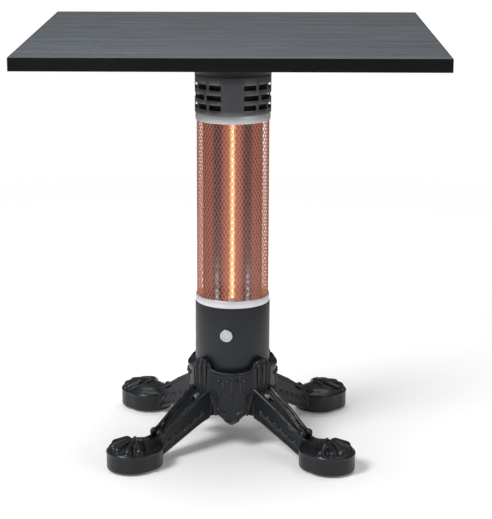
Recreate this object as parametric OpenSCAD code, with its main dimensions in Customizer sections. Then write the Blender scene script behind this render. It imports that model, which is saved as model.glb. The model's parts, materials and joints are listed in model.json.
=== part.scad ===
// Bistro table with an infrared heater in its column.
// Millimetres. +Z is up, the floor is z = 0, the column's axis is the Z axis and the front is -Y.

/* [Table top] */
// Width and depth of the square table top
top_w = 700; // [400:5:900]
// Thickness of the table top
top_t = 22; // [18:1:40]
// Thickness of the edge band
band_t = 2; // [1:0.5:4]

/* [Column] */
// Outer radius of the housing and the vent collar
column_r = 68; // [64:1:85]
// Wall of the sheet-metal tubes
sheet_t = 1.5; // [1:0.5:2.5]
// Height of the lower housing
housing_h = 120; // [110:1:180]
// Height of the vent collar
collar_h = 67; // [55:1:100]
// Height of each bright trim ring
ring_h = 14; // [10:1:22]
// Visible height of the mesh guard
guard_h = 320; // [240:5:500]
// Wall of the mesh guard
guard_t = 1; // [0.8:0.1:2]
// Height of the cast support under the table top
support_h = 50; // [45:1:80]
// Width of the support's flange outside its funnel
flange_w = 34; // [28:1:80]
// Outer radius of the centre tube
tube_r = 16; // [12:1:18]
// Wall of the centre tube
tube_t = 2; // [1.5:0.5:4]

/* [Heater] */
// Distance from the mesh guard in to each lamp's axis
lamp_inset = 17; // [14:1:20]
// Outer radius of each quartz tube
quartz_r = 5.5; // [4.5:0.5:6.5]
// Radius of each ceramic lamp cap
cap_r = 7.5; // [7:0.5:9]
// Gap between the centre tube and the back of each reflector trough
trough_gap = 4; // [4:0.5:6]
// Depth of each reflector trough
trough_depth = 10; // [8:1:12]
// Half the distance between the two ridges of a trough
ridge_y = 25; // [20:1:26]
// Distance from the mesh guard in to the tips of the reflectors' wings
wing_inset = 4; // [3:1:8]
// Thickness of the reflector sheet
reflector_t = 1; // [0.8:0.1:1.2]
// Diamond openings counted round the guard
guard_cells = 16; // [12:4:32]
// Rows of diamond openings
guard_rows = 6; // [4:1:12]

/* [Controls] */
// Radius of the power button
button_r = 11.4; // [9:0.2:13]
// Travel of the power button
button_travel = 1.5; // [1:0.1:2.5]
// Turn of the button away from the front centre, in degrees
button_turn = 8.6; // [0:0.1:15]
// Height of the button above the housing's lower edge
button_z = 70; // [50:1:90]
// Radius of the cable bore in the gland
cable_r = 4.5; // [3:0.1:5.5]
// Height of the gland above the housing's lower edge
gland_z = 42; // [30:1:80]

/* [Base] */
// Height of the seat that the column stands on
seat_z = 143; // [120:1:180]
// Width of the hub's rim outside the column
hub_rim = 12; // [10:1:30]
// Wall of the hub
hub_t = 8; // [6:1:12]
// Distance from the axis to the middle of each paw
foot_reach = 240; // [200:5:320]
// Radius of the paw's rounded ends
paw_r = 43; // [36:1:55]
// Extra length of the paw between its rounded ends
paw_len = 18; // [0:1:40]
// Height of the paw's upright side
paw_h = 36; // [32:1:50]
// Width of a leg at the hub
leg_w = 42; // [36:1:60]
// Width of a leg at the ankle
ankle_w = 27; // [22:1:40]
// Wall of the cast legs
cast_t = 6; // [4:0.5:9]
// Radius of the levelling glide's pad
pad_r = 16; // [12:1:22]
// Gap between the paw and the floor
floor_gap = 3; // [2.5:0.5:6]

/* [Fit] */
// Clearance round fixed pieces
fit = 0.2; // [0.1:0.05:0.4]
// Radial running clearance of pins, stems and the button
run = 0.08; // [0.04:0.01:0.1]

/* [Hidden] */
$fn = 64;

// Heights of the stack, from the floor up.
housing_top = seat_z + housing_h;
guard_z = housing_top + ring_h;
guard_top = guard_z + guard_h;
collar_z = guard_top + ring_h;
collar_top = collar_z + collar_h;
top_z = collar_top + support_h;

// Column.
inner_r = column_r - sheet_t;
ring_wall = 2;
web_t = 3;
guard_r = column_r - ring_wall - 1;
ring_r = guard_r + fit + ring_wall;
web_r = guard_r - 5;
plate_t = 2;
plate_r = guard_r - guard_t - fit;
lamp_reach = guard_r - guard_t - lamp_inset;
trough_reach = tube_r + trough_gap;
wing_reach = guard_r - guard_t - wing_inset;
plate_low = housing_top + web_t;
plate_high = collar_z - web_t - plate_t;
nut_h = 12;
nut_r = tube_r + 8;
support_web = 8;
support_wall = 5;
funnel_r = column_r + 18;
flange_r = funnel_r + flange_w;
flange_t = 6;

// One lamp stands at the front; the other two are turned a third of the way round from it.
LAMP_TURN = [-90, 30, 150];
cap_h = 24;
cap_seat = 8;
cap_under = 10;
cap_low = plate_low - cap_under;
cap_high = plate_high + plate_t + cap_under - cap_h;
glass_low = cap_low + cap_seat;
glass_high = cap_high + cap_h - cap_seat;
glass_t = 1.1;
filament_r = 1.6;
clip_t = 1;
clip_w = 2;

// Vent slots.
vent_h = 9;
vent_rows = [49, 31, 14];
vent_counts = [6, 5, 6];
vent_bar = 5;
vent_blank = 17.5;
shield_t = 1;
baffle_t = 1;

// Button, in a frame whose +Z points out of the housing.
bezel_t = 2;
bezel_r = button_r + run + bezel_t;
bezel_depth = 12;
bezel_proud = 1;
cap_thick = 6;
button_proud = 1.6;
stem_r = 3;
stem_len = 12;
switch_h = 20;
switch_gap = 1.2;
bezel_nut_h = 3;

// Things inside the lower housing.
floor_z = seat_z + 3;
bracket_x = tube_r + 7;
bracket_t = 1.5;
standoff_h = 5;
board_t = 1.6;
board_w = 64;
board_h = 76;
board_z = floor_z + 12;
board_x = bracket_x + bracket_t + standoff_h;
tilt_w = 16;
tilt_d = 32;
tilt_h = 34;
tilt_wall = 2;
tilt_x = -(tube_r + 4 + tilt_w);
tilt_y = -12;
axle_r = 1.5;
axle_z = floor_z + tilt_h - 7;
bob_r = 5;
bob_drop = 18;
gland_r = 8;
gland_proud = 14;
gland_head_r = 11;
gland_nut_t = 5;

// Base. The four legs stand on the diagonals.
hub_r = column_r + hub_rim;
LEG_TURN = [-135, -45, 45, 135];
seat_t = 10;
rim_h = 4;
lobe_rise = 19;
lobe_r = 20;
hub_low = 62;
pendant_z = 48;
pendant_w = 56;
root_top = 110;
root_low = 58;
root_t = 14;
ankle_x = foot_reach - paw_r - paw_len / 2 - 8;
ankle_top = paw_h + 14;
ankle_low = 12;
bolt_r = 4;
bolt_heights = [74, 98];
bolt_head_r = 6.5;
bolt_head_h = 5;
plate_screw_r = 2.5;
plate_screw_reach = 52;
insert_r = 5;
insert_h = 13;
top_screw_r = 3;
top_screw_reach = flange_r - 14;
boss_r = 10;
boss_low = 13;
stem_rest_top = paw_h - 8;
glide_r = 4;
pad_t = 6;
socket_z = 2.5;

// Turns its children to stand on leg i, with +X pointing away from the axis.
module on_leg(i) {
    rotate([0, 0, LEG_TURN[i]])
        children();
}

// Turns its children to stand at lamp i, with +X pointing away from the axis.
module on_lamp(i) {
    rotate([0, 0, LAMP_TURN[i]])
        children();
}

// Puts its children on the housing wall at the button, with +Z pointing outwards.
module at_button() {
    rotate([0, 0, -button_turn])
        translate([0, -column_r, seat_z + button_z])
            rotate([90, 0, 0])
                children();
}

// Puts its children on the back of the housing at the gland, with +Z pointing outwards.
module at_gland() {
    translate([0, column_r, seat_z + gland_z])
        rotate([-90, 0, 0])
            children();
}

// An upright tube with its lower end at z.
module tube(outer, inner, z, h) {
    translate([0, 0, z])
        difference() {
            cylinder(r = outer, h = h);
            translate([0, 0, -1])
                cylinder(r = inner, h = h + 2);
        }
}

// An upright rod with its lower end at z.
module rod(r, z, h) {
    translate([0, 0, z])
        cylinder(r = r, h = h);
}

// A flat slab with rounded ends, lying along X.
module paw_slab(r, len, z, h) {
    for (side = [-1, 1])
        translate([side * len / 2, 0, z])
            cylinder(r = r, h = h);
    translate([-len / 2, -r, z])
        cube([len, 2 * r, h]);
}

// ---------------------------------------------------------------- table top

module tabletop() {
    core_w = top_w - 2 * band_t;
    color([0.24, 0.25, 0.27])
        difference() {
            translate([-core_w / 2, -core_w / 2, top_z])
                cube([core_w, core_w, top_t]);
            for (a = [45:90:315])
                rotate([0, 0, a])
                    translate([top_screw_reach, 0, top_z - 1])
                        cylinder(r = insert_r + run, h = insert_h + 2);
        }
}

module edge_band() {
    core_w = top_w - 2 * band_t;
    color([0.04, 0.04, 0.045])
        difference() {
            translate([-top_w / 2, -top_w / 2, top_z])
                cube([top_w, top_w, top_t]);
            translate([-core_w / 2, -core_w / 2, top_z - 1])
                cube([core_w, core_w, top_t + 2]);
        }
}

module top_inserts() {
    color([0.75, 0.6, 0.3])
        for (a = [45:90:315])
            rotate([0, 0, a])
                translate([top_screw_reach, 0, 0])
                    tube(insert_r, top_screw_r + run, top_z, insert_h);
}

module top_screws() {
    color([0.6, 0.6, 0.62])
        for (a = [45:90:315])
            rotate([0, 0, a])
                translate([top_screw_reach, 0, 0]) {
                    rod(top_screw_r, top_z - flange_t, flange_t + insert_h - 2);
                    rod(2 * top_screw_r, top_z - flange_t - 3.5, 3.5);
                }
}

module top_support() {
    lip = 3;
    color([0.06, 0.06, 0.065])
        difference() {
            rotate_extrude()
                polygon([
                    [tube_r + fit, collar_top],
                    [column_r - 1, collar_top],
                    [column_r, collar_top + lip],
                    [column_r + 11, collar_top + 14],
                    [funnel_r - 2, collar_top + 26],
                    [funnel_r, top_z - flange_t],
                    [flange_r, top_z - flange_t],
                    [flange_r, top_z],
                    [funnel_r - support_wall, top_z],
                    [funnel_r - support_wall - 2, collar_top + 30],
                    [column_r + 4, collar_top + 16],
                    [column_r - 6, collar_top + support_web],
                    [tube_r + fit, collar_top + support_web]
                ]);
            for (a = [45:90:315])
                rotate([0, 0, a])
                    translate([top_screw_reach, 0, top_z - flange_t - 1])
                        cylinder(r = top_screw_r + fit, h = flange_t + 2);
        }
}

module heat_shield() {
    color([0.75, 0.75, 0.76])
        tube(inner_r - fit, tube_r + fit, collar_top - shield_t, shield_t);
}

// ------------------------------------------------------------------- column

module vent_collar() {
    color([0.2, 0.2, 0.21])
        difference() {
            tube(column_r, inner_r, collar_z, collar_h);
            for (row = [0:len(vent_rows) - 1]) {
                pitch = (180 - 2 * vent_blank + vent_bar) / vent_counts[row];
                half = (pitch - vent_bar) / 2;
                for (side = [-90, 90], k = [0:vent_counts[row] - 1])
                    rotate([0, 0, side + vent_blank + half + k * pitch])
                        translate([0, 0, collar_z + vent_rows[row]])
                            vent_cut(half);
            }
        }
}

// A radial wedge that cuts one slot spanning half degrees to each side of +X.
module vent_cut(half) {
    reach = column_r + 6;
    translate([0, 0, -vent_h / 2])
        linear_extrude(vent_h)
            polygon([
                [0, 0],
                [reach, -reach * tan(half)],
                [reach, reach * tan(half)]
            ]);
}

// A dark sleeve behind the slots. It stands on the upper ring's web, under the heat shield.
module collar_baffle() {
    color([0.03, 0.03, 0.03])
        tube(web_r + baffle_t, web_r, collar_z, collar_h - shield_t);
}

// A bright ring: an outer wall that hides the guard's end, and a web that carries it.
module trim_ring() {
    color([0.8, 0.8, 0.82])
        rotate_extrude()
            polygon([
                [web_r, 0],
                [ring_r, 0],
                [ring_r, ring_h],
                [ring_r - ring_wall, ring_h],
                [ring_r - ring_wall, web_t],
                [web_r, web_t]
            ]);
}

module upper_trim_ring() {
    translate([0, 0, collar_z])
        mirror([0, 0, 1])
            trim_ring();
}

module lower_trim_ring() {
    translate([0, 0, housing_top])
        trim_ring();
}

module lamp_plate(z) {
    color([0.7, 0.7, 0.72])
        difference() {
            tube(plate_r, tube_r + fit, z, plate_t);
            for (i = [0:2])
                on_lamp(i)
                    translate([lamp_reach, 0, z - 1])
                        cylinder(r = cap_r + fit, h = plate_t + 2);
        }
}

module upper_lamp_plate() {
    lamp_plate(plate_high);
}

module lower_lamp_plate() {
    lamp_plate(plate_low);
}

module mesh_guard() {
    solid_edge = ring_h + 2;
    low = plate_low;
    high = plate_high + plate_t;
    pitch = (high - low - 2 * solid_edge) / guard_rows;
    color([0.85, 0.45, 0.35])
        difference() {
            tube(guard_r, guard_r - guard_t, low, high - low);
            for (row = [0:guard_rows - 1], k = [0:guard_cells / 2 - 1])
                rotate([0, 0, (k + (row % 2) / 2) * 360 / guard_cells])
                    translate([0, 0, low + solid_edge + (row + 0.5) * pitch])
                        diamond_cut(2 * PI * guard_r / guard_cells - 3, pitch - 3);
        }
}

// A bar of diamond section that crosses the whole guard along X.
module diamond_cut(w, h) {
    rotate([0, 90, 0])
        linear_extrude(2 * column_r + 20, center = true)
            polygon([
                [-h / 2, 0],
                [0, -w / 2],
                [h / 2, 0],
                [0, w / 2]
            ]);
}

// One polished sheet behind lamp i: a trough between two ridges, with a wing on each side.
module reflector(i) {
    steps = 8;
    fall = 8;
    wing_turn = 58;
    ridge_x = trough_reach + trough_depth;
    trough = [
        for (k = [-steps:steps])
            [trough_reach + trough_depth * pow(k / steps, 2), ridge_y * k / steps]
    ];
    wing = [
        [ridge_x - fall * 0.6, ridge_y + fall],
        [wing_reach * cos(wing_turn), wing_reach * sin(wing_turn)]
    ];
    face = concat(
        [for (k = [1, 0]) [wing[k][0], -wing[k][1]]],
        trough,
        wing
    );
    last = len(face) - 1;
    low = plate_low + plate_t;
    color([0.85, 0.85, 0.88])
        on_lamp(i)
            translate([0, 0, low])
                linear_extrude(plate_high - low)
                    polygon(concat(face, [for (k = [last:-1:0]) face[k] - [reflector_t, 0]]));
}

module quartz_tube(i) {
    color([0.95, 0.85, 0.8, 0.5])
        on_lamp(i)
            translate([lamp_reach, 0, 0])
                tube(quartz_r, quartz_r - glass_t, glass_low, glass_high - glass_low);
}

module filaments() {
    color([1, 0.5, 0.15])
        for (i = [0:2])
            on_lamp(i)
                translate([lamp_reach, 0, 0])
                    rod(filament_r, glass_low, glass_high - glass_low);
}

// One ceramic cap for each lamp; each has a blind bore for the glass, open upwards.
module lamp_caps() {
    color([0.93, 0.91, 0.86])
        for (i = [0:2])
            on_lamp(i)
                translate([lamp_reach, 0, 0])
                    difference() {
                        cylinder(r = cap_r, h = cap_h);
                        translate([0, 0, cap_seat])
                            cylinder(r = quartz_r + run, h = cap_h);
                    }
}

module upper_lamp_caps() {
    translate([0, 0, cap_high + cap_h])
        mirror([0, 0, 1])
            lamp_caps();
}

module lower_lamp_caps() {
    translate([0, 0, cap_low])
        lamp_caps();
}

module lamp_clips() {
    color([0.55, 0.56, 0.58])
        for (i = [0:2], z = [plate_low - clip_t, plate_high + plate_t])
            on_lamp(i)
                translate([lamp_reach, 0, 0])
                    tube(cap_r + clip_w, cap_r + run, z, clip_t);
}

module core_tube() {
    low = seat_z - seat_t - nut_h - 4;
    color([0.5, 0.5, 0.52])
        tube(tube_r, tube_r - tube_t, low, collar_top + support_web + nut_h + 4 - low);
}

module tube_nuts() {
    color([0.6, 0.6, 0.6])
        for (z = [seat_z - seat_t - nut_h, collar_top + support_web])
            translate([0, 0, z])
                difference() {
                    cylinder(r = nut_r, h = nut_h, $fn = 6);
                    translate([0, 0, -1])
                        cylinder(r = tube_r + run, h = nut_h + 2);
                }
}

// ------------------------------------------------------------ lower housing

module lower_housing() {
    color([0.18, 0.19, 0.2])
        difference() {
            tube(column_r, inner_r, seat_z, housing_h);
            at_button()
                translate([0, 0, -bezel_depth])
                    cylinder(r = bezel_r + fit, h = 2 * bezel_depth);
            at_gland()
                translate([0, 0, -bezel_depth])
                    cylinder(r = gland_r + fit, h = 2 * bezel_depth);
        }
}

module button_bezel() {
    color([0.05, 0.05, 0.05])
        at_button()
            tube(bezel_r, button_r + run, -bezel_depth, bezel_depth + bezel_proud);
}

module bezel_nut() {
    // The nut seats where the curved wall falls back furthest behind it.
    outer = bezel_r + 4;
    back = column_r - sqrt(inner_r * inner_r - outer * outer);
    color([0.5, 0.5, 0.5])
        at_button()
            tube(outer, bezel_r + run, -back - bezel_nut_h, bezel_nut_h);
}

module power_button() {
    color([0.75, 0.76, 0.78])
        at_button() {
            rod(button_r, button_proud - cap_thick, cap_thick);
            rod(stem_r, button_proud - cap_thick - stem_len, stem_len + 0.01);
        }
}

module switch_body() {
    bore = stem_len + button_proud;
    color([0.12, 0.12, 0.13])
        at_button()
            difference() {
                rod(bezel_r, -bezel_depth - switch_h, switch_h);
                rod(stem_r + run, -cap_thick - bore - switch_gap, bore + cap_thick);
            }
}

module board_bracket() {
    wide = board_w + 8;
    color([0.6, 0.6, 0.62])
        union() {
            translate([bracket_x, -wide / 2, floor_z])
                cube([bracket_t, wide, board_h + 16]);
            translate([bracket_x, -wide / 2, floor_z])
                cube([14, wide, bracket_t]);
        }
}

module board_standoffs() {
    color([0.8, 0.7, 0.4])
        for (y = [-1, 1], z = [0, 1])
            translate([bracket_x + bracket_t, y * (board_w / 2 - 5), board_z + 5 + z * (board_h - 10)])
                rotate([0, 90, 0])
                    cylinder(r = 2.5, h = standoff_h);
}

module control_board() {
    color([0.1, 0.35, 0.15])
        translate([board_x, -board_w / 2, board_z])
            cube([board_t, board_w, board_h]);
}

module relay_block() {
    color([0.1, 0.2, 0.5])
        for (y = [-20, 2])
            translate([board_x + board_t, y, board_z + 40])
                cube([15, 18, 19]);
}

module terminal_block() {
    color([0.9, 0.9, 0.85])
        difference() {
            translate([-tube_r - 26, 26, floor_z])
                cube([24, 18, 16]);
            for (k = [0:2])
                translate([-tube_r - 22 + k * 8, 20, floor_z + 9])
                    rotate([-90, 0, 0])
                        cylinder(r = 2, h = 40);
        }
}

// The tip-over switch stands beside the centre tube; its axle lies along X.
module tilt_switch_case() {
    color([0.15, 0.15, 0.16])
        difference() {
            translate([tilt_x, tilt_y - tilt_d / 2, floor_z])
                cube([tilt_w, tilt_d, tilt_h]);
            translate([tilt_x + tilt_wall, tilt_y - tilt_d / 2 + tilt_wall, floor_z + tilt_wall])
                cube([tilt_w - 2 * tilt_wall, tilt_d - 2 * tilt_wall, tilt_h]);
            translate([tilt_x - 1, tilt_y, axle_z])
                rotate([0, 90, 0])
                    cylinder(r = axle_r + run, h = tilt_w + 2);
        }
}

module tilt_switch_lid() {
    color([0.2, 0.2, 0.22])
        translate([tilt_x, tilt_y - tilt_d / 2, floor_z + tilt_h])
            cube([tilt_w, tilt_d, tilt_wall]);
}

module tilt_pendulum() {
    thin = tilt_w - 2 * tilt_wall - 2;
    color([0.7, 0.7, 0.7])
        translate([tilt_x, tilt_y, axle_z]) {
            rotate([0, 90, 0])
                cylinder(r = axle_r, h = tilt_w);
            translate([tilt_w / 2 - 1, -1.2, -bob_drop])
                cube([2, 2.4, bob_drop]);
            translate([(tilt_w - thin) / 2, 0, -bob_drop])
                rotate([0, 90, 0])
                    cylinder(r = bob_r, h = thin);
        }
}

module gland_body() {
    color([0.05, 0.05, 0.05])
        at_gland()
            difference() {
                union() {
                    rod(gland_r, -bezel_depth, bezel_depth + 4);
                    rod(gland_head_r, 0.5, gland_proud);
                }
                rod(cable_r, -bezel_depth - 1, bezel_depth + gland_proud + 4);
                rod(cable_r + 2, gland_proud - 8, 12);
            }
}

module gland_seal() {
    color([0.1, 0.1, 0.1])
        at_gland()
            tube(cable_r + 2, cable_r, gland_proud - 8, 8);
}

module gland_nut() {
    outer = gland_r + 4;
    back = column_r - sqrt(inner_r * inner_r - outer * outer);
    color([0.08, 0.08, 0.08])
        at_gland()
            tube(outer, gland_r + run, -back - gland_nut_t, gland_nut_t);
}

module housing_base_plate() {
    color([0.5, 0.5, 0.5])
        difference() {
            tube(inner_r - fit, tube_r + fit, seat_z, floor_z - seat_z);
            for (a = [0:90:270])
                rotate([0, 0, a])
                    translate([plate_screw_reach, 0, seat_z - 1])
                        cylinder(r = plate_screw_r + fit, h = 6);
        }
}

module base_plate_screws() {
    color([0.65, 0.65, 0.66])
        for (a = [0:90:270])
            rotate([0, 0, a])
                translate([plate_screw_reach, 0, 0]) {
                    rod(plate_screw_r, seat_z - seat_t + 1, floor_z - seat_z + seat_t - 1);
                    rod(2 * plate_screw_r, floor_z, 3);
                }
}

// --------------------------------------------------------------------- base

// A ring of the hub's wall, cut to an outline that is drawn in the XZ plane and pushed along +Y.
module wall_piece(inner) {
    intersection() {
        tube(hub_r, inner, 0, seat_z + 2 * lobe_rise);
        rotate([90, 0, 0])
            translate([0, 0, -hub_r - 10])
                linear_extrude(hub_r + 10)
                    children();
    }
}

module base_hub() {
    rim_r = column_r + 1;
    color([0.13, 0.14, 0.15])
        difference() {
            union() {
                tube(hub_r, rim_r, seat_z - 1, rim_h + 1);
                tube(hub_r, hub_r - hub_t, hub_low, seat_z - hub_low);
                tube(hub_r - 1, tube_r + fit, seat_z - seat_t, seat_t);
                // Four round lobes rise above the rim over the legs.
                for (i = [0:3])
                    on_leg(i)
                        rotate([0, 0, -90])
                            wall_piece(rim_r)
                                translate([0, seat_z])
                                    circle(r = lobe_r);
                // Four pendants hang between the legs.
                for (a = [0:90:270])
                    rotate([0, 0, a])
                        wall_piece(hub_r - hub_t)
                            polygon([
                                [-pendant_w / 2, hub_low + 1],
                                [-pendant_w / 4, pendant_z + 4],
                                [0, pendant_z],
                                [pendant_w / 4, pendant_z + 4],
                                [pendant_w / 2, hub_low + 1]
                            ]);
            }
            tube(column_r + 1, tube_r + fit, seat_z, 2 * lobe_rise);
            for (i = [0:3], z = bolt_heights)
                on_leg(i)
                    translate([hub_r - hub_t - 8, 0, z])
                        rotate([0, 90, 0])
                            cylinder(r = bolt_r + fit, h = hub_t + 16);
            for (a = [0:90:270])
                rotate([0, 0, a])
                    translate([plate_screw_reach, 0, seat_z - seat_t - 1])
                        cylinder(r = plate_screw_r + run, h = seat_t + 2);
        }
}

// The tapering beam of a leg: its side view crossed with its plan view.
// skin shrinks it on the top and the sides, and start moves its root outwards.
module leg_beam(skin, start, drop) {
    intersection() {
        rotate([90, 0, 0])
            translate([0, 0, -leg_w])
                linear_extrude(2 * leg_w)
                    polygon([
                        [start, root_low - drop],
                        [start, root_top - skin],
                        [hub_r + 8, root_top - 4 - skin],
                        [ankle_x, ankle_top - skin],
                        [foot_reach - 20, paw_h - skin],
                        [foot_reach - 20, ankle_low - drop],
                        [ankle_x, ankle_low - drop]
                    ]);
        translate([0, 0, -leg_w])
            linear_extrude(root_top + leg_w)
                polygon([
                    [start, -leg_w / 2 + skin],
                    [foot_reach - 20, -ankle_w / 2 + skin],
                    [foot_reach - 20, ankle_w / 2 - skin],
                    [start, leg_w / 2 - skin]
                ]);
    }
}

module leg(i) {
    toe_r = 12;
    slot_r = 5;
    slot_x = hub_r + root_t + 7;
    slot_z = root_top - 32;
    color([0.13, 0.14, 0.15])
        on_leg(i)
            union() {
                difference() {
                    leg_beam(0, hub_r - hub_t, 0);
                    // The cast channel is open underneath.
                    intersection() {
                        leg_beam(cast_t, hub_r + root_t, 40);
                        translate([0, -leg_w, -40])
                            cube([foot_reach - paw_r - paw_len / 2, 2 * leg_w, root_top + 80]);
                    }
                    rod(hub_r, 0, root_top + 10);
                    translate([foot_reach, 0, 0])
                        paw_slab(paw_r - cast_t, paw_len, -1, paw_h - 8 + 1);
                    // A pierced window near the hub.
                    for (dx = [0, 10])
                        translate([slot_x + dx, leg_w, slot_z - dx / 2])
                            rotate([90, 0, 0])
                                cylinder(r = slot_r, h = 2 * leg_w);
                    for (dx = [0, 12])
                        translate([slot_x + dx, 0, slot_z])
                            cylinder(r = slot_r, h = root_top);
                    for (z = bolt_heights)
                        translate([hub_r - 5, 0, z])
                            rotate([0, 90, 0])
                                cylinder(r = bolt_r, h = root_t + 8);
                }
                difference() {
                    union() {
                        translate([foot_reach, 0, 0])
                            paw_slab(paw_r, paw_len, floor_gap, paw_h - floor_gap);
                        // Three toes lie on the paw.
                        for (y = [-26, 0, 26])
                            translate([foot_reach - 14, y, paw_h - 2]) {
                                rotate([0, 90, 0])
                                    cylinder(r = toe_r, h = 44 - abs(y) / 2);
                                sphere(r = toe_r);
                                translate([44 - abs(y) / 2, 0, 0])
                                    sphere(r = toe_r);
                            }
                    }
                    difference() {
                        translate([foot_reach, 0, 0])
                            paw_slab(paw_r - cast_t, paw_len, -1, paw_h - 8 + 1);
                        translate([foot_reach, 0, 0])
                            rod(boss_r, boss_low, paw_h);
                    }
                    translate([foot_reach, 0, 0])
                        rod(glide_r, -1, paw_h - 3);
                }
            }
}

module leg_bolts() {
    seat = sqrt(pow(hub_r - hub_t, 2) - bolt_head_r * bolt_head_r);
    color([0.6, 0.6, 0.6])
        for (i = [0:3], z = bolt_heights)
            on_leg(i)
                translate([seat, 0, z])
                    rotate([0, 90, 0]) {
                        cylinder(r = bolt_r - 0.05, h = hub_r + root_t - seat);
                        translate([0, 0, -bolt_head_h])
                            cylinder(r = bolt_head_r, h = bolt_head_h, $fn = 6);
                    }
}

module glide_stem(i) {
    color([0.7, 0.7, 0.7])
        on_leg(i)
            translate([foot_reach, 0, 0])
                rod(glide_r - run, socket_z + run, stem_rest_top - socket_z);
}

module glide_pad(i) {
    color([0.08, 0.08, 0.08])
        on_leg(i)
            translate([foot_reach, 0, 0])
                difference() {
                    cylinder(r = pad_r, h = pad_t);
                    rod(glide_r, socket_z, pad_t);
                }
}

tabletop();
edge_band();
top_inserts();
top_screws();
top_support();
heat_shield();
vent_collar();
collar_baffle();
upper_trim_ring();
upper_lamp_plate();
mesh_guard();
reflector(0);  // reflector_front
reflector(1);  // reflector_right
reflector(2);  // reflector_left
quartz_tube(0);  // quartz_tube_front
quartz_tube(1);  // quartz_tube_right
quartz_tube(2);  // quartz_tube_left
filaments();
upper_lamp_caps();
lower_lamp_caps();
lamp_clips();
lower_lamp_plate();
lower_trim_ring();
lower_housing();
button_bezel();
bezel_nut();
power_button();
switch_body();
board_bracket();
board_standoffs();
control_board();
relay_block();
terminal_block();
tilt_switch_case();
tilt_switch_lid();
tilt_pendulum();
gland_body();
gland_seal();
gland_nut();
housing_base_plate();
base_plate_screws();
core_tube();
tube_nuts();
base_hub();
leg(0);  // leg_front_left
leg(1);  // leg_front_right
leg(2);  // leg_back_right
leg(3);  // leg_back_left
leg_bolts();
glide_stem(0);  // glide_stem_front_left
glide_stem(1);  // glide_stem_front_right
glide_stem(2);  // glide_stem_back_right
glide_stem(3);  // glide_stem_back_left
glide_pad(0);  // glide_pad_front_left
glide_pad(1);  // glide_pad_front_right
glide_pad(2);  // glide_pad_back_right
glide_pad(3);  // glide_pad_back_left
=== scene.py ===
"""Bistro table with an infrared heater in its column, built round the CAD frame."""

import json
import math

import bpy
import numpy as np
from mathutils import Matrix, Vector


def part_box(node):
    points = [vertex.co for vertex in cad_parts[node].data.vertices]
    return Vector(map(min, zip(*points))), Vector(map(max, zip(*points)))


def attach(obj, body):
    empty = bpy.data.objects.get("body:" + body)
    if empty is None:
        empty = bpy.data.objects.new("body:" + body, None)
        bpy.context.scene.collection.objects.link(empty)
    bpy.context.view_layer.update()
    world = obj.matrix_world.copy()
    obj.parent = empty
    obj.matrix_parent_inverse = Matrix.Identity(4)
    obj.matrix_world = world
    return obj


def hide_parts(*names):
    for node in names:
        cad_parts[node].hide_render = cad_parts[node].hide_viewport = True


bl_info = {
    "name": "Bistro Heater Table",
    "version": (1, 0, 0),
    "blender": (4, 5, 0),
    "location": "3D View > Sidebar > Bistro Heater",
    "description": "Builds a bistro table with an infrared heater in its column",
    "category": "Object",
}

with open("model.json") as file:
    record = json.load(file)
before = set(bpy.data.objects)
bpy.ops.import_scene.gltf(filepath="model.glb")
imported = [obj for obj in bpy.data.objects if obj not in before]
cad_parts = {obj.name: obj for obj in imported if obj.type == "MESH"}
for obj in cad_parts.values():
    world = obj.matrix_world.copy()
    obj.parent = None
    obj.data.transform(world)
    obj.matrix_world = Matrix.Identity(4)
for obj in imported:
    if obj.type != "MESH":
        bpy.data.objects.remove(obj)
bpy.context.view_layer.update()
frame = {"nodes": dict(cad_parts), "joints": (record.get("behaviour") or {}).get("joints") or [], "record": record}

MM = 0.001
LAMP_TURNS = (-90, 30, 150)
LEG_TURNS = {"front_left": -135, "front_right": -45, "back_right": 45, "back_left": 135}


def corners_mm(node):
    """The lowest and the highest corner of a CAD node, in millimetres."""
    low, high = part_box(node)
    return low / MM, high / MM


PANEL_LOW, PANEL_HIGH = corners_mm("tabletop")
BAND_LOW, BAND_HIGH = corners_mm("edge_band")
SUPPORT_LOW, SUPPORT_HIGH = corners_mm("top_support")
COLLAR_LOW, COLLAR_HIGH = corners_mm("vent_collar")
UPPER_RING_HIGH = corners_mm("upper_trim_ring")[1]
LOWER_RING_LOW, LOWER_RING_HIGH = corners_mm("lower_trim_ring")
GUARD_LOW, GUARD_HIGH = corners_mm("mesh_guard")
HOUSING_LOW, HOUSING_HIGH = corners_mm("lower_housing")
LAMP_LOW, LAMP_HIGH = corners_mm("quartz_tube_front")
FILAMENT_LOW, FILAMENT_HIGH = corners_mm("filaments")
PAD_LOW, PAD_HIGH = corners_mm("glide_pad_front_right")
COLUMN_R = COLLAR_HIGH.x
GUARD_R = GUARD_HIGH.x
RING_R = UPPER_RING_HIGH.x
SEAT_Z = HOUSING_LOW.z
LAMP_REACH = -(LAMP_LOW.y + LAMP_HIGH.y) / 2
FOOT_REACH = math.hypot((PAD_LOW.x + PAD_HIGH.x) / 2, (PAD_LOW.y + PAD_HIGH.y) / 2)
PRESS_AXIS = next(j["axis"] for j in frame["joints"] if j["child"] == "power_button")

# Sizes that several pieces share, in millimetres.
SHEET_T = 1.5
TUBE_BORE_R = 16.2
GLAND_BORE_R = 6.5
BUTTON_HOLE_R = 13.7
GLAND_HOLE_R = 8.2
HOLE_REACH = 14
AXIS_R = 0.02

# The mix node has several sockets of each name, so its colour sockets go by number.
MIX_FACTOR, MIX_FIRST, MIX_SECOND, MIX_RESULT = 0, 6, 7, 2


# ---------------------------------------------------------------- settings


def colour_property(name, description, default):
    """A colour that a user can change."""
    return bpy.props.FloatVectorProperty(
        name=name, description=description, default=default, size=3, min=0, max=1,
        subtype="COLOR")


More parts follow.
